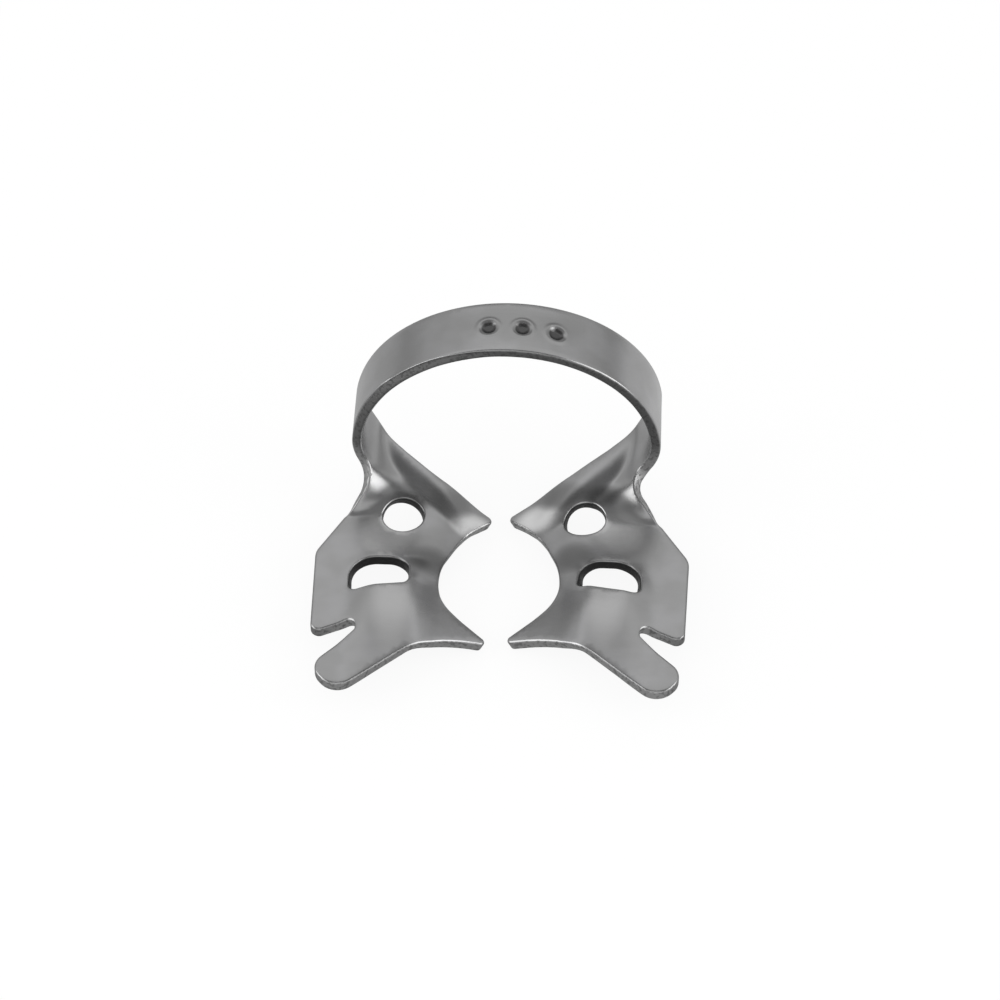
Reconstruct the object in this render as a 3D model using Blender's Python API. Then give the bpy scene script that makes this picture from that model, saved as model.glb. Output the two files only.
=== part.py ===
# Rubber dam clamp: one sheet of spring steel, blanked, pierced and formed in a press.
# The blank is laid out flat, one half at a time, and then taken through the forming.
# On the blank "across" runs from between the beaks outward and on up the bow, and
# "back" runs from the front beaks toward the bow. All sizes are in millimetres.

import bpy
import bmesh
from math import acos, atan2, ceil, cos, dist, pi, radians, sin, sqrt, tan
from mathutils import Vector
from mathutils.geometry import delaunay_2d_cdt

MM = 0.001

# Sheet
JAW_THICKNESS = 0.95
BOW_THICKNESS = 0.78
THINNING_START = 9.0
THINNING_END = 15.0
EDGE_ROUNDING = 0.18

# Bow: an arch over the back, a little lower than a half circle
BOW_RADIUS = 11.45
BOW_RISE = 10.8
BOW_CENTRE_Z = 4.65
BOW_FRONT = 10.55
BOW_BACK = 15.5

# Jaw: a level wing, and inside its fold a plate that falls to the beaks
JAW_SLOPE = radians(24)
FOLD_START = 4.6
FOLD_WIDTH = 2.6

# Arm from the jaw to the bow: it climbs outward, with a step up behind the hole
ARM_SLOPE = radians(16)
ARM_STEP = 0.55
ARM_STEP_FOOT = ((4.5, 6.9), (8.6, 10.3))
ARM_STEP_WIDTH = 2.8
ARM_STEP_INNER = (2.0, 5.0)
ARM_STEP_OUTER = (11.5, 8.5)

# Curl from the jaw up into the bow, a little tighter at its front edge
CURL_RADIUS_FRONT = 4.6
CURL_RADIUS_BACK = 5.1
CURL_FADE = 6.8

# Ridge pressed up in front of the slot
RIDGE_HEIGHT = 0.8
RIDGE_INNER_FOOT = 4.7
RIDGE_INNER_TOP = 7.0
RIDGE_OUTER_TOP = 9.2
RIDGE_OUTER_FOOT = 12.2
RIDGE_FRONT_FOOT = -10.0
RIDGE_FULL = -1.0
RIDGE_BACK_FOOT = 3.2

# Blank outline: across, back and corner radius
BACK_EDGE = (5.55, 11.35, 11.5)
BACK_BEAK = (0.55, 8.9, 0.4)
MOUTH = ((2.9, 6.7, 9.5), (4.7, 2.45, 6.5), (4.8, -0.35, 3.0), (3.0, -1.75, 8.0))
FRONT_BEAK = (0.4, -3.35, 0.35)
FRONT_EDGE = (4.95, -4.2, 13.0)
LOBE = ((12.15, -9.9, 1.6), (14.2, -7.6, 1.4))
NOTCH = ((10.7, -4.15, 0.25), (10.7, -3.0, 0.55))
WING = ((14.15, -4.6, 0.65), (14.35, 3.4, 1.6))
NECK = (10.0, 10.55, 1.2)
BACK_BEND = (11.55, BOW_BACK, 3.5)

# Piercings
HOLE_CENTRE = (7.1, 7.3)
HOLE_RADIUS = 1.55
SLOT = ((6.55, 0.15, 0.5), (11.0, -0.4, 0.65), (11.1, 3.0, 2.0), (6.75, 3.05, 1.6))

# The press leaves the halves unlike: how far to the left each feature sits on both
# halves, and how far back on the right half and forward on the left one
BACK_BEAK_SHIFT = (0.4, 0.25)
MOUTH_SHIFT = (0.15, 0.2)
LOBE_SHIFT = (-0.15, 0.1)
WING_SHIFT = (0.0, 0.1)
NECK_SHIFT = (0.45, 0.3)
BEND_SHIFT = (-0.2, 0.5)
SLOT_SHIFT = (0.45, 0.15)
HOLE_SHIFT = (0.8, 0.15)

# Mesh
EDGE_STEP = 0.45
FACE_STEP = 0.72
CURL_ZONE = (8.4, 14.0, 8.0)
ARC_STEP = radians(24)

STEEL_COLOUR = (0.38, 0.38, 0.38, 1.0)
STEEL_ROUGHNESS = 0.26


def ease(t):
    t = min(max(t, 0.0), 1.0)
    return t * t * (3 - 2 * t)


def corner_arc(before, corner, after):
    # The corner's tangent points and the arc between them.
    x, y, radius = corner
    if radius == 0:
        return [(x, y)]
    into = Vector((x - before[0], y - before[1])).normalized()
    out = Vector((after[0] - x, after[1] - y)).normalized()
    turn = acos(max(-1.0, min(1.0, into.dot(out))))
    left = into.cross(out) > 0
    side = Vector((-into.y, into.x)) if left else Vector((into.y, -into.x))
    start = Vector((x, y)) - into * radius * tan(turn / 2)
    centre = start + side * radius
    count = max(2, ceil(turn / ARC_STEP), ceil(turn * radius / EDGE_STEP))
    points = []
    for i in range(count + 1):
        angle = turn * i / count
        spoke = -side * cos(angle) + into * sin(angle)
        points.append(tuple(centre + spoke * radius))
    return points


def subdivided(points):
    # The same path with its long straight runs cut into steps.
    path = []
    for a, b in zip(points, points[1:]):
        count = max(1, round(dist(a, b) / EDGE_STEP))
        path += [(a[0] + (b[0] - a[0]) * i / count, a[1] + (b[1] - a[1]) * i / count)
                 for i in range(count)]
    return path


def open_path(corners):
    points = [corners[0][:2]]
    for before, corner, after in zip(corners, corners[1:], corners[2:]):
        points += corner_arc(before, corner, after)
    points.append(corners[-1][:2])
    return subdivided(points) + [points[-1]]


def closed_path(corners):
    points = []
    for i, corner in enumerate(corners):
        after = corners[(i + 1) % len(corners)]
        points += corner_arc(corners[i - 1], corner, after)
    return subdivided(points + points[:1])


def circle(centre, radius):
    count = ceil(2 * pi * radius / EDGE_STEP)
    angles = [2 * pi * i / count for i in range(count)]
    return [(centre[0] + radius * cos(a), centre[1] + radius * sin(a)) for a in angles]


def turned_run(x, z, length, start, end):
    # Where a run of sheet ends whose heading turns evenly from start to end.
    turn = end - start
    if abs(turn) < 1e-9:
        return x + length * cos(start), z + length * sin(start)
    radius = length / turn
    return x + radius * (sin(end) - sin(start)), z + radius * (cos(start) - cos(end))


FOLD_BASE = -turned_run(0.0, 0.0, FOLD_WIDTH, JAW_SLOPE, 0.0)[1]


def section_runs(back):
    # Length and end heading of the straight, the curl and the bow, in that order.
    t = (back - BOW_FRONT) / (BOW_BACK - BOW_FRONT)
    radius = CURL_RADIUS_FRONT + (CURL_RADIUS_BACK - CURL_RADIUS_FRONT) * ease(t)
    x, z = turned_run(FOLD_START, FOLD_BASE, FOLD_WIDTH, JAW_SLOPE, ARM_SLOPE)
    slope = tan(ARM_SLOPE)
    lift = z - slope * x + radius / cos(ARM_SLOPE) - BOW_CENTRE_Z
    a = 1 + slope * slope
    b = 2 * slope * lift
    c = lift * lift - (BOW_RADIUS - radius) ** 2
    curl_x = (-b + sqrt(b * b - 4 * a * c)) / (2 * a)
    curl_z = slope * curl_x + lift
    contact = atan2(curl_z, curl_x) + pi / 2
    straight = (curl_x + radius * sin(ARM_SLOPE) - x) / cos(ARM_SLOPE)
    return ((straight, ARM_SLOPE), (radius * (contact - ARM_SLOPE), contact),
            (BOW_RADIUS * (pi - contact), pi))


def run_length(back):
    return sum(length for length, heading in section_runs(back))


CROWN = FOLD_START + FOLD_WIDTH + run_length(BOW_FRONT)


def ridge_height(across, back):
    inner = (across - RIDGE_INNER_FOOT) / (RIDGE_INNER_TOP - RIDGE_INNER_FOOT)
    outer = (RIDGE_OUTER_FOOT - across) / (RIDGE_OUTER_FOOT - RIDGE_OUTER_TOP)
    front = (back - RIDGE_FRONT_FOOT) / (RIDGE_FULL - RIDGE_FRONT_FOOT)
    behind = (RIDGE_BACK_FOOT - back) / RIDGE_BACK_FOOT
    return RIDGE_HEIGHT * ease(min(inner, outer)) * ease(min(front, behind))


def arm_step(across, back):
    # The step up behind the hole, which runs slantwise along the arm's back edge.
    (x, y), (far_x, far_y) = ARM_STEP_FOOT
    foot = y + (across - x) * (far_y - y) / (far_x - x)
    inner = (across - ARM_STEP_INNER[0]) / (ARM_STEP_INNER[1] - ARM_STEP_INNER[0])
    outer = (across - ARM_STEP_OUTER[0]) / (ARM_STEP_OUTER[1] - ARM_STEP_OUTER[0])
    return ARM_STEP * ease((back - foot) / ARM_STEP_WIDTH) * ease(min(inner, outer))


def raised(back):
    # How much of the curl a line across the blank gets: none in the wing, all in the bow.
    return ease((back - CURL_FADE) / (BOW_FRONT - CURL_FADE))


def middle(across, back):
    # The middle of the sheet after forming, for one point of the right half's blank.
    lift = ridge_height(across, back) + arm_step(across, back)
    if across <= FOLD_START:
        return Vector((across, back, FOLD_BASE - (FOLD_START - across) * tan(JAW_SLOPE) + lift))
    rise = raised(back)
    heading = JAW_SLOPE
    x, z = FOLD_START, FOLD_BASE
    left = across - FOLD_START
    line = max(back, BOW_FRONT)
    stretch = run_length(line) / run_length(BOW_FRONT)
    runs = ((FOLD_WIDTH, ARM_SLOPE),) + tuple((n / stretch, h) for n, h in section_runs(line))
    for number, (length, end) in enumerate(runs):
        part = min(left, length) / length
        scale = 1.0 if number == 0 else stretch
        target = heading + (end * rise - heading) * part
        x, z = turned_run(x, z, part * length * scale, heading, target)
        heading = target
        left -= part * length
        if left <= 0:
            break
    if z > BOW_CENTRE_Z:
        z = BOW_CENTRE_Z + (z - BOW_CENTRE_Z) * BOW_RISE / BOW_RADIUS
    return Vector((x, back, z + lift))


def thickness(across, back):
    t = ease((across - THINNING_START) / (THINNING_END - THINNING_START)) * raised(back)
    return JAW_THICKNESS + (BOW_THICKNESS - JAW_THICKNESS) * t


def on_sheet(across, back, depth):
    # A point above or below the middle, by a share of the thickness less the rounding.
    reach = 0.01
    ahead = middle(min(across + reach, CROWN), back) - middle(across - reach, back)
    behind = middle(across, back + reach) - middle(across, back - reach)
    normal = ahead.cross(behind).normalized()
    level, trim = depth
    offset = level * (thickness(across, back) / 2 - trim)
    point = middle(across, back) + normal * offset
    if across == CROWN:
        point.x = 0.0
    return point


def inset(path, closed, distance):
    # The path moved to its left by the distance.
    moved = []
    last = len(path) - 1
    for i, point in enumerate(path):
        before = path[i - 1] if i > 0 or closed else point
        after = path[(i + 1) % len(path)] if i < last or closed else point
        along = Vector((after[0] - before[0], after[1] - before[1])).normalized()
        moved.append((point[0] - along.y * distance, point[1] + along.x * distance))
    return moved


def near(point, path, distance):
    return any(dist(point, other) < distance for other in path)


def inside(point, path):
    x, y = point
    crossings = 0
    for (ax, ay), (bx, by) in zip(path, path[1:] + path[:1]):
        if (ay > y) != (by > y) and x < ax + (y - ay) / (by - ay) * (bx - ax):
            crossings += 1
    return crossings % 2 == 1


def askew(corners, side, shift):
    # One feature's corners, moved as the press leaves them on this half.
    left, back = shift[0] * side, shift[1] * side
    return [(x - left, y + back, *radius) for x, y, *radius in corners]


def blank_outline(side):
    corners = [(CROWN, BOW_BACK, 0)]
    corners += askew([BACK_BEND], side, BEND_SHIFT)
    corners += askew([BACK_EDGE, BACK_BEAK], side, BACK_BEAK_SHIFT)
    corners += askew([*MOUTH, FRONT_BEAK], side, MOUTH_SHIFT)
    corners += askew([FRONT_EDGE, *LOBE], side, LOBE_SHIFT)
    corners += askew([*NOTCH, *WING], side, WING_SHIFT)
    corners += askew([NECK], side, NECK_SHIFT)
    corners += [(CROWN, BOW_FRONT, 0)]
    return open_path(corners)


def piercings(side):
    slot = closed_path(askew(SLOT, side, SLOT_SHIFT))
    hole = circle(askew([HOLE_CENTRE], side, HOLE_SHIFT)[0], HOLE_RADIUS)
    return [slot[::-1], hole[::-1]]


def crown_seam():
    low = BOW_FRONT + EDGE_ROUNDING
    high = BOW_BACK - EDGE_ROUNDING
    count = round((high - low) / FACE_STEP)
    return [(CROWN, low + (high - low) * i / count) for i in range(1, count)]


def grid_points(outline, holes):
    # Points on even rows wherever they lie well inside the sheet, closer at the curl.
    border = outline + [p for hole in holes for p in hole]
    points = []
    half = FACE_STEP / 2
    row_step = half * sqrt(3) / 2
    low = min(y for x, y in outline)
    rows = int((max(y for x, y in outline) - low) / row_step) + 1
    columns = int(CROWN / half) + 1
    for row in range(rows):
        for column in range(columns):
            point = (half * (column + 0.5 * (row % 2)), low + row_step * row)
            curled = CURL_ZONE[0] < point[0] < CURL_ZONE[1] and point[1] > CURL_ZONE[2]
            coarse = row % 2 == 0 and column % 2 == row // 2 % 2
            if not (curled or coarse):
                continue
            kept = inside(point, outline) and not any(inside(point, h) for h in holes)
            if kept and not near(point, border, (half if curled else FACE_STEP) * 0.6):
                points.append(point)
    return points


def flat_triangles(outline, holes):
    # The sheet's face on the blank: its points, and triangles that wind to the left.
    points = []
    edges = []
    for loop in [outline] + holes:
        first = len(points)
        points += loop
        edges += [(first + i, first + (i + 1) % len(loop)) for i in range(len(loop))]
    points += grid_points(outline, holes)
    result = delaunay_2d_cdt([Vector(p) for p in points], edges, [], 1, 1e-6)
    places, faces, origins = result[0], result[2], result[3]
    names = [origin[0] if origin else None for origin in origins]
    kept = []
    for face in faces:
        centre = sum((places[i] for i in face), Vector((0, 0))) / 3
        if not any(inside(centre, hole) for hole in holes):
            kept.append([names[i] for i in face])
    return points, kept


def build_half(mesh, side):
    # Adds one half of the clamp to the mesh: both faces, and the rounded rims.
    rims = [(blank_outline(side), False)]
    rims += [(hole, True) for hole in piercings(side)]
    insets = [inset(path, closed, EDGE_ROUNDING) for path, closed in rims]
    points, triangles = flat_triangles(insets[0] + crown_seam(), insets[1:])

    def add(point, depth):
        place = on_sheet(*point, depth) * MM
        return mesh.verts.new((place.x * side, place.y, place.z))

    def face(corners):
        mesh.faces.new(corners if side > 0 else corners[::-1])

    upper = [add(p, (1, 0)) for p in points]
    lower = [add(p, (-1, 0)) for p in points]
    for a, b, c in triangles:
        face((upper[a], upper[b], upper[c]))
        face((lower[c], lower[b], lower[a]))
    first = 0
    for number, (path, closed) in enumerate(rims):
        if number == 1:
            first += len(crown_seam())
        wall_top = [add(p, (1, EDGE_ROUNDING)) for p in path]
        wall_foot = [add(p, (-1, EDGE_ROUNDING)) for p in path]
        rings = (upper[first:], wall_top, wall_foot, lower[first:])
        for i in range(len(path) if closed else len(path) - 1):
            j = (i + 1) % len(path)
            for high, low in zip(rings, rings[1:]):
                face((high[i], low[i], low[j]))
                face((high[i], low[j], high[j]))
        first += len(path)


def clear_scene():
    for item in list(bpy.data.objects):
        bpy.data.objects.remove(item, do_unlink=True)


def steel():
    material = bpy.data.materials.new("spring_steel")
    material.use_nodes = True
    shader = material.node_tree.nodes["Principled BSDF"]
    shader.inputs["Base Color"].default_value = STEEL_COLOUR
    shader.inputs["Metallic"].default_value = 1.0
    shader.inputs["Roughness"].default_value = STEEL_ROUGHNESS
    return material


def build_clamp():
    mesh = bmesh.new()
    build_half(mesh, 1)
    build_half(mesh, -1)
    bmesh.ops.remove_doubles(mesh, verts=mesh.verts, dist=0.00001)
    ground = min(v.co.z for v in mesh.verts)
    middle_y = (max(v.co.y for v in mesh.verts) + min(v.co.y for v in mesh.verts)) / 2
    bmesh.ops.translate(mesh, verts=mesh.verts, vec=(0, -middle_y, -ground))
    data = bpy.data.meshes.new("clamp")
    mesh.to_mesh(data)
    mesh.free()
    data.materials.append(steel())
    clamp = bpy.data.objects.new("clamp", data)
    bpy.context.collection.objects.link(clamp)
    return clamp


clear_scene()
build_clamp()
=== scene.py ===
from math import acos, atan2, ceil, cos, dist, pi, radians, sin, sqrt, tan

import bmesh
import bpy
import numpy as np
from mathutils import Matrix, Vector
from mathutils.geometry import delaunay_2d_cdt
from mathutils.kdtree import KDTree


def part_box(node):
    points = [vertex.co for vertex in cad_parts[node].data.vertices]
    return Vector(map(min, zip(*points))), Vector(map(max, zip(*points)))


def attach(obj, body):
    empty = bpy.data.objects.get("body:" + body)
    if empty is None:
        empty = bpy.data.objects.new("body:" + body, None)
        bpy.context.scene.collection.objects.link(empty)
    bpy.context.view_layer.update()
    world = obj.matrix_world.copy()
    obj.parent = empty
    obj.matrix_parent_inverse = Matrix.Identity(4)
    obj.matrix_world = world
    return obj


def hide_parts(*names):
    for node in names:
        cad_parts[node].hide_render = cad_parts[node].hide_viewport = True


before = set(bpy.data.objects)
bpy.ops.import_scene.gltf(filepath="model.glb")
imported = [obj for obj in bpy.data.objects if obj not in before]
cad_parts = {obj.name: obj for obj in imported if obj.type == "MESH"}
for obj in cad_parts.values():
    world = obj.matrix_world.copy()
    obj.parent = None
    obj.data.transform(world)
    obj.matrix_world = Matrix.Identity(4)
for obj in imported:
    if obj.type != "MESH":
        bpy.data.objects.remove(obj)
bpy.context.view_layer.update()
mm = 0.001

clamp = {
    "jawThickness": 0.95, "bowThickness": 0.78, "thinningStart": 9.0, "thinningEnd": 15.0,
    "edgeRounding": 0.18,
    "bowRadius": 11.45, "bowRise": 10.8, "bowCentreZ": 4.65, "bowFront": 10.55, "bowBack": 15.5,
    "jawSlope": radians(24), "armSlope": radians(16), "foldStart": 4.6, "foldWidth": 2.6,
    "curlFront": 4.6, "curlBack": 5.1, "curlFade": 6.8,
    "armStep": 0.55, "armStepFoot": ((4.5, 6.9), (8.6, 10.3)), "armStepWidth": 2.8,
    "armStepInner": (2.0, 5.0), "armStepOuter": (11.5, 8.5),
    "ridgeHeight": 0.8, "ridgeInner": (4.7, 7.0), "ridgeOuter": (12.2, 9.2),
    "ridgeFront": (-10.0, -1.0), "ridgeBack": (3.2, 0.0),
    "holeCentre": (7.1, 7.3), "holeRadius": 1.55,
    # outline corners: across, back, corner radius
    "backBend": (11.55, 15.5, 3.5),
    "backEdge": (5.55, 11.35, 11.5),
    "backBeak": (0.55, 8.9, 0.4),
    "mouth": [(2.9, 6.7, 9.5), (4.7, 2.45, 6.5), (4.8, -0.35, 3.0), (3.0, -1.75, 8.0)],
    "frontBeak": (0.4, -3.35, 0.35),
    "frontEdge": (4.95, -4.2, 13.0),
    "lobe": [(12.15, -9.9, 1.6), (14.2, -7.6, 1.4)],
    "notch": [(10.7, -4.15, 0.25), (10.7, -3.0, 0.55)],
    "wing": [(14.15, -4.6, 0.65), (14.35, 3.4, 1.6)],
    "neck": (10.0, 10.55, 1.2),
    "slot": [(6.55, 0.15, 0.5), (11.0, -0.4, 0.65), (11.1, 3.0, 2.0), (6.75, 3.05, 1.6)],
    # how far each feature sits to the left on both halves, and how far back on the right
    # half and forward on the left one
    "backBeakShift": (0.4, 0.25), "mouthShift": (0.15, 0.2), "lobeShift": (-0.15, 0.1),
    "wingShift": (0.0, 0.1), "neckShift": (0.45, 0.3), "bendShift": (-0.2, 0.5),
    "slotShift": (0.45, 0.15), "holeShift": (0.8, 0.15),
    # mesh; the rows' reach is from front to back, the curl's finer zone across and back
    "edgeStep": 0.2, "faceStep": 0.34, "arcStep": radians(12), "rimSteps": 4, "wallSteps": 3,
    "rowReach": (-10, 16), "curlZone": (8.4, 14.5, 8.0, 16),
}


def ease(t):
    t = min(max(t, 0.0), 1.0)
    return t * t * (3 - 2 * t)


def cornerArc(before, corner, after):
    x, y, radius = corner
    into = Vector((x - before[0], y - before[1])).normalized()
    out = Vector((after[0] - x, after[1] - y)).normalized()
    turn = acos(max(-1.0, min(1.0, into.dot(out))))
    side = Vector((-into.y, into.x)) if into.cross(out) > 0 else Vector((into.y, -into.x))
    centre = Vector((x, y)) - into * radius * tan(turn / 2) + side * radius
    count = max(2, ceil(turn / clamp["arcStep"]), ceil(turn * radius / clamp["edgeStep"]))
    angles = [turn * i / count for i in range(count + 1)]
    return [tuple(centre + (into * sin(a) - side * cos(a)) * radius) for a in angles]


def subdivided(points):
    path = []
    for a, b in zip(points, points[1:]):
        count = max(1, round(dist(a, b) / clamp["edgeStep"]))
        path += [(a[0] + (b[0] - a[0]) * i / count, a[1] + (b[1] - a[1]) * i / count)
                 for i in range(count)]
    return path


def openPath(corners):
    points = [corners[0][:2]]
    for before, corner, after in zip(corners, corners[1:], corners[2:]):
        points += cornerArc(before, corner, after)
    points.append(corners[-1][:2])
    return subdivided(points) + [points[-1]]


def closedPath(corners):
    points = []
    for i, corner in enumerate(corners):
        points += cornerArc(corners[i - 1], corner, corners[(i + 1) % len(corners)])
    return subdivided(points + points[:1])


def turnedRun(x, z, length, start, end):
    # where a run of sheet ends whose heading turns evenly from start to end
    turn = end - start
    if abs(turn) < 1e-9:
        return x + length * cos(start), z + length * sin(start)
    radius = length / turn
    return x + radius * (sin(end) - sin(start)), z + radius * (cos(start) - cos(end))


foldBase = -turnedRun(0.0, 0.0, clamp["foldWidth"], clamp["jawSlope"], 0.0)[1]
runsKnown = {}


def sectionRuns(back):
    # length and end heading of the straight, the curl and the bow on one line of the blank
    if back not in runsKnown:
        t = (back - clamp["bowFront"]) / (clamp["bowBack"] - clamp["bowFront"])
        radius = clamp["curlFront"] + (clamp["curlBack"] - clamp["curlFront"]) * ease(t)
        slope = clamp["armSlope"]
        x, z = turnedRun(clamp["foldStart"], foldBase, clamp["foldWidth"], clamp["jawSlope"], slope)
        lift = z - tan(slope) * x + radius / cos(slope) - clamp["bowCentreZ"]
        a = 1 + tan(slope) ** 2
        b = 2 * tan(slope) * lift
        c = lift * lift - (clamp["bowRadius"] - radius) ** 2
        curlX = (-b + sqrt(b * b - 4 * a * c)) / (2 * a)
        contact = atan2(tan(slope) * curlX + lift, curlX) + pi / 2
        straight = (curlX + radius * sin(slope) - x) / cos(slope)
        runsKnown[back] = ((straight, slope), (radius * (contact - slope), contact),
                           (clamp["bowRadius"] * (pi - contact), pi))
    return runsKnown[back]


def runLength(back):
    return sum(length for length, heading in sectionRuns(back))


crown = clamp["foldStart"] + clamp["foldWidth"] + runLength(clamp["bowFront"])


def climb(value, ends):
    # from 0 at the first of the two ends to 1 at the second
    return (value - ends[0]) / (ends[1] - ends[0])


def ridgeHeight(across, back):
    along = min(climb(back, clamp["ridgeFront"]), climb(back, clamp["ridgeBack"]))
    over = min(climb(across, clamp["ridgeInner"]), climb(across, clamp["ridgeOuter"]))
    return clamp["ridgeHeight"] * ease(over) * ease(along)


def armStep(across, back):
    # the step up behind the hole, slantwise along the arm's back edge
    (x, y), (farX, farY) = clamp["armStepFoot"]
    foot = y + (across - x) * (farY - y) / (farX - x)
    over = min(climb(across, clamp["armStepInner"]), climb(across, clamp["armStepOuter"]))
    return clamp["armStep"] * ease((back - foot) / clamp["armStepWidth"]) * ease(over)


def raised(back):
    # how much of the curl a line across the blank gets: none in the wing, all in the bow
    return ease((back - clamp["curlFade"]) / (clamp["bowFront"] - clamp["curlFade"]))


def middle(across, back):
    # the middle of the bent sheet, for one point of the right half's blank
    slope = clamp["jawSlope"]
    lift = ridgeHeight(across, back) + armStep(across, back)
    left = across - clamp["foldStart"]
    if left <= 0:
        return Vector((across, back, foldBase + left * tan(slope) + lift))
    line = max(back, clamp["bowFront"])
    stretch = runLength(line) / runLength(clamp["bowFront"])
    heading = slope
    x, z = clamp["foldStart"], foldBase
    runs = [(clamp["foldWidth"], clamp["armSlope"], 1.0)]
    runs += [(length / stretch, end, stretch) for length, end in sectionRuns(line)]
    for length, end, scale in runs:
        part = min(left, length) / length
        target = heading + (end * raised(back) - heading) * part
        x, z = turnedRun(x, z, part * length * scale, heading, target)
        heading = target
        left -= part * length
        if left <= 0:
            break
    if z > clamp["bowCentreZ"]:
        z = clamp["bowCentreZ"] + (z - clamp["bowCentreZ"]) * clamp["bowRise"] / clamp["bowRadius"]
    return Vector((x, back, z + lift))


def sheetFrame(across, back):
    # middle of the sheet, its normal and half its thickness
    reach = 0.01
    ahead = middle(min(across + reach, crown), back) - middle(across - reach, back)
    behind = middle(across, back + reach) - middle(across, back - reach)
    t = (across - clamp["thinningStart"]) / (clamp["thinningEnd"] - clamp["thinningStart"])
    thinning = (clamp["bowThickness"] - clamp["jawThickness"]) * ease(t) * raised(back)
    half = (clamp["jawThickness"] + thinning) / 2
    return middle(across, back), ahead.cross(behind).normalized(), half


def inset(path, closed, distance):
    # the path moved to its left, into the sheet
    moved = []
    last = len(path) - 1
    for i, point in enumerate(path):
        before = path[i - 1] if i > 0 or closed else point
        after = path[(i + 1) % len(path)] if i < last or closed else point
        along = Vector((after[0] - before[0], after[1] - before[1])).normalized()
        moved.append((point[0] - along.y * distance, point[1] + along.x * distance))
    return moved


def inside(points, path):
    x, y = points[:, 0], points[:, 1]
    result = np.zeros(len(points), bool)
    for (ax, ay), (bx, by) in zip(path, path[1:] + path[:1]):
        if ay != by:
            result ^= ((ay > y) != (by > y)) & (x < ax + (y - ay) / (by - ay) * (bx - ax))
    return result


marks = {
    "count": 3, "pitch": 2.55, "diameter": 1.5, "depth": 0.2, "lip": 0.03,
    "centre": (1.2, 12.95),     # across the bow from its crown, and back
    "unevenness": 0.02, "meshStep": 0.085, "meshMargin": 0.9,
}


def gridPoints(outline, holes):
    # points on even rows well inside the sheet, closer at the curl and round the marks
    border = [p for path in [outline] + holes for p in path]
    tree = KDTree(len(border))
    for i, point in enumerate(border):
        tree.insert((*point, 0), i)
    tree.balance()
    reach = marks["pitch"] * (marks["count"] - 1) / 2 + marks["centre"][0] + marks["meshMargin"]
    half = marks["diameter"] / 2 + marks["meshMargin"] / 2
    line = marks["centre"][1]
    zones = [
        (clamp["faceStep"], (0, crown, *clamp["rowReach"])),
        (clamp["faceStep"] / 2, clamp["curlZone"]),
        (marks["meshStep"], (crown - reach, crown, line - half, line + half)),
    ]
    kept = []
    for number, (step, (x0, x1, y0, y1)) in enumerate(zones):
        columns = np.arange(x0, x1, step)
        rows = np.arange(y0, y1, step * sqrt(3) / 2)
        x, y = np.meshgrid(columns, rows)
        x = x + (np.arange(len(rows)) % 2)[:, None] * step / 2
        points = np.column_stack([x.ravel(), y.ravel()])
        points = points[(points[:, 0] < x1) & inside(points, outline)]
        for hole in holes:
            points = points[~inside(points, hole)]
        for finer, (a0, a1, b0, b1) in zones[number + 1:]:
            x, y = points[:, 0], points[:, 1]
            taken = (x > a0 - finer / 2) & (x < a1)
            taken &= (y > b0 - finer / 2) & (y < b1 + finer / 2)
            points = points[~taken]
        kept += [tuple(p) for p in points if tree.find((*p, 0))[2] > step * 0.6]
    return kept


def flatTriangles(outline, holes):
    points = []
    edges = []
    for loop in [outline] + holes:
        first = len(points)
        points += loop
        edges += [(first + i, first + (i + 1) % len(loop)) for i in range(len(loop))]
    points += gridPoints(outline, holes)
    result = delaunay_2d_cdt([Vector(p) for p in points], edges, [], 1, 1e-6)
    places, faces, origins = result[0], result[2], result[3]
    centres = np.array([sum((places[i] for i in face), Vector((0, 0))) / 3 for face in faces])
    pierced = np.zeros(len(faces), bool)
    for hole in holes:
        pierced |= inside(centres, hole)
    kept = [[origins[i][0] for i in face] for face, cut in zip(faces, pierced) if not cut]
    return points, kept


def askew(names, side, shift):
    # a feature's corners, moved as the press leaves them on this half
    corners = []
    for name in names:
        corners += clamp[name] if isinstance(clamp[name], list) else [clamp[name]]
    left, back = (side * part for part in clamp[shift])
    return [(x - left, y + back, *radius) for x, y, *radius in corners]


def cutPaths(side):
    # the outline of one half's blank, its slot and its hole
    outline = openPath([
        (crown, clamp["bowBack"]), *askew(["backBend"], side, "bendShift"),
        *askew(["backEdge", "backBeak"], side, "backBeakShift"),
        *askew(["mouth", "frontBeak"], side, "mouthShift"),
        *askew(["frontEdge", "lobe"], side, "lobeShift"),
        *askew(["notch", "wing"], side, "wingShift"),
        *askew(["neck"], side, "neckShift"), (crown, clamp["bowFront"]),
    ])
    slot = closedPath(askew(["slot"], side, "slotShift"))
    centre = askew(["holeCentre"], side, "holeShift")[0]
    count = ceil(2 * pi * clamp["holeRadius"] / clamp["edgeStep"])
    angles = [-2 * pi * i / count for i in range(count)]
    hole = [(centre[0] + clamp["holeRadius"] * cos(a),
             centre[1] + clamp["holeRadius"] * sin(a)) for a in angles]
    return [(outline, False), (slot[::-1], True), (hole, True)]


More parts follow.
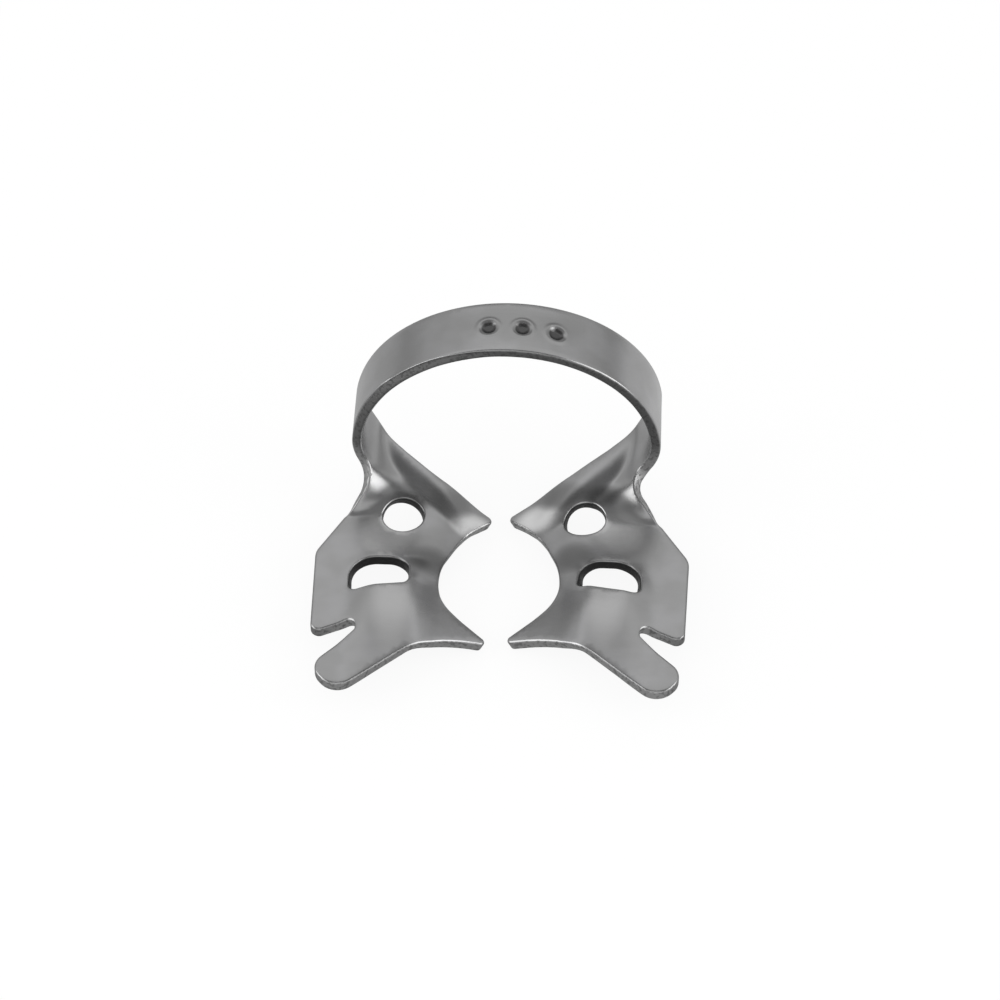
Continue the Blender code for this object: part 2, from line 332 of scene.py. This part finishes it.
def buildHalf(mesh, side):
    # one half of the sheet: both faces and, round every cut, a wall with rounded rims
    blank = mesh.verts.layers.float_vector["blank"]
    cut = mesh.verts.layers.float["cutEdge"]
    pierced = mesh.verts.layers.float["pierced"]
    outer = mesh.verts.layers.float["outerFace"]
    rounding = clamp["edgeRounding"]
    rims = cutPaths(side)
    insets = [inset(path, closed, rounding) for path, closed in rims]
    seamStep = marks["meshStep"]
    seamCount = round((clamp["bowBack"] - clamp["bowFront"] - 2 * rounding) / seamStep)
    seam = [(crown, clamp["bowFront"] + rounding + seamStep * i) for i in range(1, seamCount)]
    points, triangles = flatTriangles(insets[0] + seam, insets[1:])

    frames = {}

    def add(point, level, trim, edge, hole=0.0):
        if point not in frames:
            frames[point] = sheetFrame(*point)
        place, normal, half = frames[point]
        offset = level * (half - trim)
        place = place + normal * offset
        if point[0] == crown:
            place.x = 0.0
        vertex = mesh.verts.new((place.x * side * mm, place.y * mm, place.z * mm))
        vertex[blank] = (side * (crown - point[0]), point[1], offset)
        vertex[cut] = edge
        vertex[pierced] = hole
        vertex[outer] = 1.0 if level < 0 and edge == 0 else 0.0
        return vertex

    def face(corners):
        mesh.faces.new(corners if side > 0 else corners[::-1])

    def rim(path, closed, angle, level, hole):
        # one ring of a rounded rim, from the wall at 0 to the face at a quarter turn
        moved = inset(path, closed, rounding * (1 - cos(angle)))
        trim, edge = rounding * (1 - sin(angle)), 0.5 + 0.5 * cos(angle)
        return [add(p, level, trim, edge, hole) for p in moved]

    upper = [add(p, 1, 0, 0) for p in points]
    lower = [add(p, -1, 0, 0) for p in points]
    for a, b, c in triangles:
        face((upper[a], upper[b], upper[c]))
        face((lower[c], lower[b], lower[a]))
    angles = [pi / 2 * i / clamp["rimSteps"] for i in range(clamp["rimSteps"])]
    first = 0
    for number, (path, closed) in enumerate(rims):
        if number == 1:
            first += len(seam)
        hole = 1.0 if closed else 0.0
        rings = [upper[first:first + len(path)]]
        rings += [rim(path, closed, a, 1, hole) for a in angles[::-1][:-1]]
        frames.update({p: sheetFrame(*p) for p in path})
        for i in range(clamp["wallSteps"] + 1):
            level = 1 - 2 * i / clamp["wallSteps"]
            if level == 0:
                level = 1e-6
            rings.append([addWall(p, frames[p], level, rounding, add, hole) for p in path])
        rings += [rim(path, closed, a, -1, hole) for a in angles[1:]]
        rings.append(lower[first:first + len(path)])
        for i in range(len(path) if closed else len(path) - 1):
            j = (i + 1) % len(path)
            for high, low in zip(rings, rings[1:]):
                face((high[i], low[i], low[j], high[j]))
        first += len(path)


def addWall(point, place, level, rounding, add, hole):
    # a point of the wall, from 1 at its upper end to -1 at its lower one
    half = place[2]
    return add(point, 1 if level > 0 else -1, half - abs(level) * (half - rounding), 1.0, hole)


def buildSheet():
    mesh = bmesh.new()
    mesh.verts.layers.float_vector.new("blank")
    mesh.verts.layers.float.new("cutEdge")
    mesh.verts.layers.float.new("pierced")
    mesh.verts.layers.float.new("outerFace")
    buildHalf(mesh, 1)
    buildHalf(mesh, -1)
    seam = [v for v in mesh.verts if abs(v.co.x) < 1e-9]
    bmesh.ops.remove_doubles(mesh, verts=seam, dist=0.01 * mm)
    lowest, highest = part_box("clamp")
    ground = min(v.co.z for v in mesh.verts) - lowest.z
    centreY = (max(v.co.y for v in mesh.verts) + min(v.co.y for v in mesh.verts)) / 2
    moved = Vector((0, (lowest.y + highest.y) / 2 - centreY, -ground))
    bmesh.ops.translate(mesh, verts=mesh.verts, vec=moved)
    data = bpy.data.meshes.new("formedSheet")
    mesh.to_mesh(data)
    mesh.free()
    sheet = bpy.data.objects.new("formedSheet", data)
    bpy.context.scene.collection.objects.link(sheet)
    print("sheet bent:", len(data.polygons), "faces")
    return sheet, moved


class Socket:
    # one output of a node tree, used in ordinary sums
    def __init__(self, graph, link):
        self.graph = graph
        self.link = link

    def maths(self, operation, *others):
        values = {i: other for i, other in enumerate((self,) + others)}
        return self.graph.node("ShaderNodeMath", {"operation": operation}, values)

    def __add__(self, other):
        return self.maths("ADD", other)

    def __mul__(self, other):
        return self.maths("MULTIPLY", other)

    __radd__ = __add__
    __rmul__ = __mul__

    def __sub__(self, other):
        return self.maths("SUBTRACT", other)

    def __rsub__(self, other):
        return self * -1 + other

    def __truediv__(self, other):
        return self.maths("DIVIDE", other)

    def __pow__(self, other):
        return self.maths("POWER", other)

    def clamped(self):
        return self.maths("MAXIMUM", 0.0).maths("MINIMUM", 1.0)

    def band(self, low, high):
        # 0 below low, 1 above high and eased between them
        values = {0: self, 1: low, 2: high}
        return self.graph.node("ShaderNodeMapRange", {"interpolation_type": "SMOOTHSTEP"}, values)


class Graph:
    def __init__(self, tree):
        self.tree = tree

    def node(self, kind, settings=None, sockets=None, output=0):
        item = self.tree.nodes.new(kind)
        for name, value in (settings or {}).items():
            setattr(item, name, value)
        for name, value in (sockets or {}).items():
            if isinstance(value, Socket):
                self.tree.links.new(value.link, item.inputs[name])
            else:
                item.inputs[name].default_value = value
        return Socket(self, item.outputs[output]) if len(item.outputs) else item

    def mixColour(self, factor, a, b):
        return self.node("ShaderNodeMix", {"data_type": "RGBA"}, {0: factor, 6: a, 7: b}, 2)


def grey(level, blue=0.0):
    return (level, level, level + blue, 1.0)


steel = {
    "colour": 0.38, "colourSpread": 0.02, "roughness": 0.26, "roughnessSpread": 0.05,
    # the near-black colour of the hole and slot walls is painted shade
    "edgeColour": 0.36, "edgeRoughness": 0.14, "holeWallShade": 0.03, "grain": 0.35,
    "bowEdgeColour": 0.14, "bowEdgeStart": (12.0, 15.0),
    "stainColour": 0.05, "stainShare": 0.45, "stainRoughness": 0.15,
    "struckColour": 0.06, "struckShare": 0.85,
    # painted highlights and painted shade, where the steel's reflections fall light or dark: across,
    # back, reach each way, colour
    "paintedLightAndShade": [
        (2.6, 7.8, 2.1, 1.6, 0.9),      # back beak, painted highlight
        (9.0, 5.7, 2.4, 2.6, 0.62),     # outside the hole and in front of it, painted highlight
        (8.1, -1.5, 1.8, 5.0, 0.48),    # ridge, painted highlight
        (5.6, 3.2, 2.0, 1.9, 0.2),      # fold beside the slot, painted shade
        (7.6, 9.0, 2.1, 1.1, 0.19),     # behind the hole, painted shade
        (4.5, 9.3, 2.0, 1.5, 0.26),     # arm's back edge, painted shade
    ],
    "patchShift": 0.5,                  # back on the right half, forward on the left one
    # a darker zone round the struck marks
    "struckPatch": (1.2, 13.4, 5.5, 2.2, 0.33),
}


def steelMaterial():
    material = bpy.data.materials.new("satinSteel")
    material.use_nodes = True
    g = Graph(material.node_tree)
    shader = material.node_tree.nodes["Principled BSDF"]
    blank = g.node("ShaderNodeAttribute", {"attribute_name": "blank"}, output="Vector")
    cut = g.node("ShaderNodeAttribute", {"attribute_name": "cutEdge"}, output="Fac")
    pierced = g.node("ShaderNodeAttribute", {"attribute_name": "pierced"}, output="Fac")
    struck = g.node("ShaderNodeAttribute", {"attribute_name": "struck"}, output="Fac")

    def noise(scale, detail=3.0, squeeze=(1, 1, 1), shift=0.0):
        sockets = {"Vector": blank, "Scale": squeeze, "Location": (shift,) * 3}
        place = g.node("ShaderNodeMapping", None, sockets)
        return g.node("ShaderNodeTexNoise", None, {"Vector": place, "Scale": scale, "Detail": detail})

    cloud = noise(0.35, 2.0)
    streaks = noise(1.0, 4.0, (0.35, 5.0, 1.0), 7.0)
    grain = noise(14.0, 3.0, (1, 1, 1), 3.0)
    blotches = noise(3.6, 4.0, (1, 1, 1), 11.0)
    pits = g.node("ShaderNodeTexVoronoi", None, {"Vector": blank, "Scale": 3.4})

    wall = cut.band(0.75, 1.0)
    stain = blotches.band(0.48, 0.62) * wall
    dull = grey(steel["colour"] - steel["colourSpread"])
    bright = grey(steel["colour"] + steel["colourSpread"], 0.004)
    colour = g.mixColour(cloud.band(0.35, 0.65), dull, bright)
    parts = g.node("ShaderNodeSeparateXYZ", None, {0: blank}).link.node.outputs
    place, back = Socket(g, parts[0]), Socket(g, parts[1])
    across, side = crown - place.maths("ABSOLUTE"), place.maths("SIGN")
    # painted highlights and painted shade in patches over the steel, and the darker zone round the
    # struck marks
    paintedSpots = [(across, back - side * steel["patchShift"], patch) for patch in steel["paintedLightAndShade"]]
    for left, behind, (x, y, reachX, reachY, level) in paintedSpots + [(place, back, steel["struckPatch"])]:
        away = ((left - x) / reachX) ** 2 + ((behind - y) / reachY) ** 2
        colour = g.mixColour(1 - away.band(0.0, 1.0), colour, grey(level))
    colour = g.mixColour(wall, colour, grey(steel["edgeColour"]))
    bowWall = wall * across.band(*steel["bowEdgeStart"])
    colour = g.mixColour(bowWall, colour, grey(steel["bowEdgeColour"]))
    # painted shade: the walls of the hole and slot near black
    colour = g.mixColour(wall * pierced, colour, grey(steel["holeWallShade"]))
    colour = g.mixColour(stain * steel["stainShare"], colour, grey(steel["stainColour"]))
    dark = struck.band(0.15, 0.6) * steel["struckShare"]
    colour = g.mixColour(dark, colour, grey(steel["struckColour"]))
    g.tree.links.new(colour.link, shader.inputs["Base Color"])
    shader.inputs["Metallic"].default_value = 1.0
    rough = steel["roughness"] + (streaks - 0.5) * steel["roughnessSpread"]
    rough = rough + wall * steel["edgeRoughness"] + stain * steel["stainRoughness"]
    g.tree.links.new(rough.clamped().link, shader.inputs["Roughness"])
    height = grain * 0.4 + streaks * 0.15 + stain * -2.0 + pits.band(0.0, 0.3) * wall * 1.2
    sockets = {"Strength": steel["grain"], "Distance": 0.00002, "Height": height}
    bump = g.node("ShaderNodeBump", None, sockets)
    g.tree.links.new(bump.link, shader.inputs["Normal"])
    return material


def markTree(material):
    # strikes a row of round marks into the bow's outer face
    tree = bpy.data.node_groups.new("strikeMarks", "GeometryNodeTree")
    tree.is_modifier = True
    tree.interface.new_socket("Geometry", in_out="INPUT", socket_type="NodeSocketGeometry")
    kinds = {"Count": "Int", "Pitch": "Float", "Diameter": "Float", "Depth": "Float",
             "Lip": "Float", "Centre": "Vector", "Unevenness": "Float"}
    for name, kind in kinds.items():
        tree.interface.new_socket(name, in_out="INPUT", socket_type="NodeSocket" + kind)
    tree.interface.new_socket("Geometry", in_out="OUTPUT", socket_type="NodeSocketGeometry")
    g = Graph(tree)
    inputs = tree.nodes.new("NodeGroupInput")
    value = {s.name: Socket(g, s) for s in inputs.outputs}
    count, pitch, radius = value["Count"], value["Pitch"], value["Diameter"] / 2
    start = g.node("ShaderNodeCombineXYZ", None, {0: (count - 1) * pitch * -0.5})
    start = g.node("ShaderNodeVectorMath", {"operation": "ADD"}, {0: start, 1: value["Centre"]})
    step = g.node("ShaderNodeCombineXYZ", None, {0: pitch})
    row = g.node("GeometryNodeMeshLine", None, {"Count": count, "Start Location": start, "Offset": step})
    place = g.node("GeometryNodeInputPosition")
    flat = g.node("ShaderNodeVectorMath", {"operation": "MULTIPLY"}, {0: place, 1: (1, 1, 0)})
    row = g.node("GeometryNodeMeshToPoints", None, {"Mesh": row})
    near = g.node("GeometryNodeProximity", {"target_element": "POINTS"},
                  {0: row, "Sample Position": flat}, "Distance")
    outer = g.node("GeometryNodeInputNamedAttribute", None, {"Name": "outerFace"}, "Attribute")
    ratio = near / radius
    pit = (1 - ratio.band(0.35, 1.0)) * outer
    lip = ratio.band(0.85, 1.1) * (1 - ratio.band(1.1, 1.5)) * outer
    uneven = g.node("ShaderNodeTexNoise", None, {"Vector": place, "Scale": 320.0, "Detail": 1.0}) - 0.5
    push = pit * value["Depth"] * -1 + lip * value["Lip"] + uneven * value["Unevenness"]
    normal = g.node("GeometryNodeInputNormal")
    offset = g.node("ShaderNodeVectorMath", {"operation": "SCALE"}, {0: normal, "Scale": push})
    stored = g.node("GeometryNodeStoreNamedAttribute", None,
                    {"Geometry": value["Geometry"], "Name": "struck", "Value": pit})
    moved = g.node("GeometryNodeSetPosition", None, {"Geometry": stored, "Offset": offset})
    whole = g.node("GeometryNodeRealizeInstances", None, {"Geometry": moved})
    done = g.node("GeometryNodeSetMaterial", None, {"Geometry": whole, "Material": material})
    output = tree.nodes.new("NodeGroupOutput")
    tree.links.new(done.link, output.inputs[0])
    return tree


def strikeMarks(sheet, moved, material):
    tree = markTree(material)
    centreY = moved.y + marks["centre"][1] * mm
    sizes = {name: marks[name.lower()] * mm
             for name in ("Pitch", "Diameter", "Depth", "Lip", "Unevenness")}
    sizes.update({"Count": marks["count"], "Centre": (marks["centre"][0] * mm, centreY, 0)})
    modifier = sheet.modifiers.new("strikeMarks", "NODES")
    modifier.node_group = tree
    for item in tree.interface.items_tree:
        if item.in_out == "INPUT" and item.name in sizes:
            modifier[item.identifier] = sizes[item.name]
    seen = bpy.context.evaluated_depsgraph_get()
    plain = bpy.data.meshes.new_from_object(sheet.evaluated_get(seen))
    sheet.modifiers.remove(modifier)
    sheet.data = plain
    plain.shade_smooth()
    print("marks struck:", marks["count"])


studio = {
    "floorColour": 0.9, "floorGlow": 0.9,
    # the floor as the steel mirrors it, a painted glow: darker by the piece as a painted shadow, and
    # lighter to the right than to the left as a painted reflection
    "mirrored": {"near": 0.5, "left": 0.62, "right": 0.78},
    "room": {"overhead": 0.3, "back": 0.91, "middle": 0.3, "side": 0.65, "horizon": 0.45, "front": 1.0,
             "frontHigh": 0.1, "fill": 0.8},
    "key": {"size": 0.34, "power": 0.3, "place": (0.0, -0.3, 0.36)},
    "left": {"size": 0.3, "power": 0.55, "place": (-0.36, -0.06, 0.2)},
    "right": {"size": 0.3, "power": 0.55, "place": (0.36, -0.06, 0.2)},
}


def buildFloor():
    mesh = bmesh.new()
    bmesh.ops.create_grid(mesh, x_segments=1, y_segments=1, size=3.0)
    data = bpy.data.meshes.new("floor")
    mesh.to_mesh(data)
    mesh.free()
    floor = bpy.data.objects.new("floor", data)
    bpy.context.scene.collection.objects.link(floor)
    material = bpy.data.materials.new("paleFloor")
    material.use_nodes = True
    material.node_tree.nodes.clear()
    g = Graph(material.node_tree)
    rays = material.node_tree.nodes.new("ShaderNodeLightPath")
    camera = Socket(g, rays.outputs["Is Camera Ray"])
    glossy = Socket(g, rays.outputs["Is Glossy Ray"])
    mirrored = studio["mirrored"]
    place = g.node("ShaderNodeTexCoord", output="Object")
    parts = g.node("ShaderNodeSeparateXYZ", None, {0: place}).link.node.outputs
    x, y = Socket(g, parts[0]), Socket(g, parts[1])
    # the floor's glow in the steel's reflections: a painted shadow by the piece, lighter to the right
    # than to the left
    away = (x * x + y * y).maths("SQRT").band(0.012, 0.03)
    level = mirrored["left"] + x.band(-0.02, 0.02) * (mirrored["right"] - mirrored["left"])
    level = mirrored["near"] + away * (level - mirrored["near"])
    level = g.node("ShaderNodeCombineColor", None, {0: level, 1: level, 2: level})
    matt = g.node("ShaderNodeBsdfDiffuse", None, {"Color": grey(studio["floorColour"])})
    shown = g.mixColour(camera, level, grey(1.0))
    glow = g.node("ShaderNodeEmission", None, {"Color": shown, "Strength": 1.0})
    share = (camera * studio["floorGlow"]).maths("MAXIMUM", glossy)
    both = g.node("ShaderNodeMixShader", None, {0: share, 1: matt, 2: glow})
    g.node("ShaderNodeOutputMaterial", None, {"Surface": both})
    data.materials.append(material)


def softbox(name):
    look = studio[name]
    light = bpy.data.lights.new(name + "Softbox", "AREA")
    light.shape = "SQUARE"
    light.size = look["size"]
    light.energy = look["power"]
    lamp = bpy.data.objects.new(name + "Softbox", light)
    lamp.location = look["place"]
    aim = Vector((0, 0, 0.006)) - Vector(look["place"])
    lamp.rotation_euler = aim.to_track_quat("-Z", "Y").to_euler()
    bpy.context.scene.collection.objects.link(lamp)


def buildWorld():
    # a room as the steel mirrors it: bright low in front and high behind, dim overhead;
    # plain white to the camera
    world = bpy.data.worlds.new("studio")
    bpy.context.scene.world = world
    world.use_nodes = True
    world.node_tree.nodes.clear()
    g = Graph(world.node_tree)
    room = studio["room"]
    rays = world.node_tree.nodes.new("ShaderNodeLightPath")
    place = g.node("ShaderNodeTexCoord", output="Generated")
    parts = g.node("ShaderNodeSeparateXYZ", None, {0: place}).link.node.outputs
    x, back, up = (Socket(g, part) for part in parts)
    low = room["middle"] + x.maths("ABSOLUTE").band(0.25, 0.5) * (room["side"] - room["middle"])
    low = room["horizon"] + up.band(0.2, 0.32) * (low - room["horizon"])
    ahead = room["front"] + up.band(0.45, 0.65) * (room["frontHigh"] - room["front"])
    level = ahead + back.band(-0.35, 0.2) * (low - ahead)
    window = back.band(0.2, 0.5) * up.band(0.55, 0.68)
    level = level + window * (level * -1 + room["back"])
    high = up.band(0.94, 0.98)
    level = level + high * (level * -1 + room["overhead"])
    seen = g.node("ShaderNodeCombineColor", None, {0: level, 1: level, 2: level})
    glossy = Socket(g, rays.outputs["Is Glossy Ray"])
    colour = g.mixColour(glossy, grey(room["fill"]), seen)
    colour = g.mixColour(Socket(g, rays.outputs["Is Camera Ray"]), colour, grey(1.0))
    lit = g.node("ShaderNodeBackground", None, {"Color": colour, "Strength": 1.0})
    g.node("ShaderNodeOutputWorld", None, {"Surface": lit})


view = {
    "elevation": radians(51), "azimuth": radians(3.5), "roll": radians(-0.8),
    "distance": 0.3, "lens": 142.56,
    "rise": 0.0068515, "side": 0.0001123,
}


def buildCamera(moved):
    # aimed past the middle of the blank's front line, at the height of the wings' tops
    e, a = view["elevation"], view["azimuth"]
    back = Vector((sin(a) * cos(e), -cos(a) * cos(e), sin(e)))
    right = Vector((cos(a), sin(a), 0))
    up = back.cross(right)
    pivot = moved + Vector((0, 0, clamp["jawThickness"] / 2 * mm))
    place = pivot + back * view["distance"]
    target = pivot + right * view["side"] + up * view["rise"]
    axisZ = (place - target).normalized()
    axisX = up.cross(axisZ).normalized()
    axisY = axisZ.cross(axisX)
    turn = Matrix((axisX, axisY, axisZ)).transposed() @ Matrix.Rotation(view["roll"], 3, "Z")
    camera = bpy.data.objects.new("camera", bpy.data.cameras.new("camera"))
    camera.data.lens = view["lens"]
    camera.data.sensor_width = 36.0
    camera.data.clip_start = 0.01
    camera.matrix_world = Matrix.Translation(place) @ turn.to_4x4()
    bpy.context.scene.collection.objects.link(camera)
    bpy.context.scene.camera = camera


sheet, moved = buildSheet()
strikeMarks(sheet, moved, steelMaterial())
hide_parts("clamp")
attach(sheet, "root")

buildFloor()
for name in ("key", "left", "right"):
    softbox(name)
buildWorld()
buildCamera(moved)
bpy.context.scene.view_settings.view_transform = "Standard"
print("studio set")
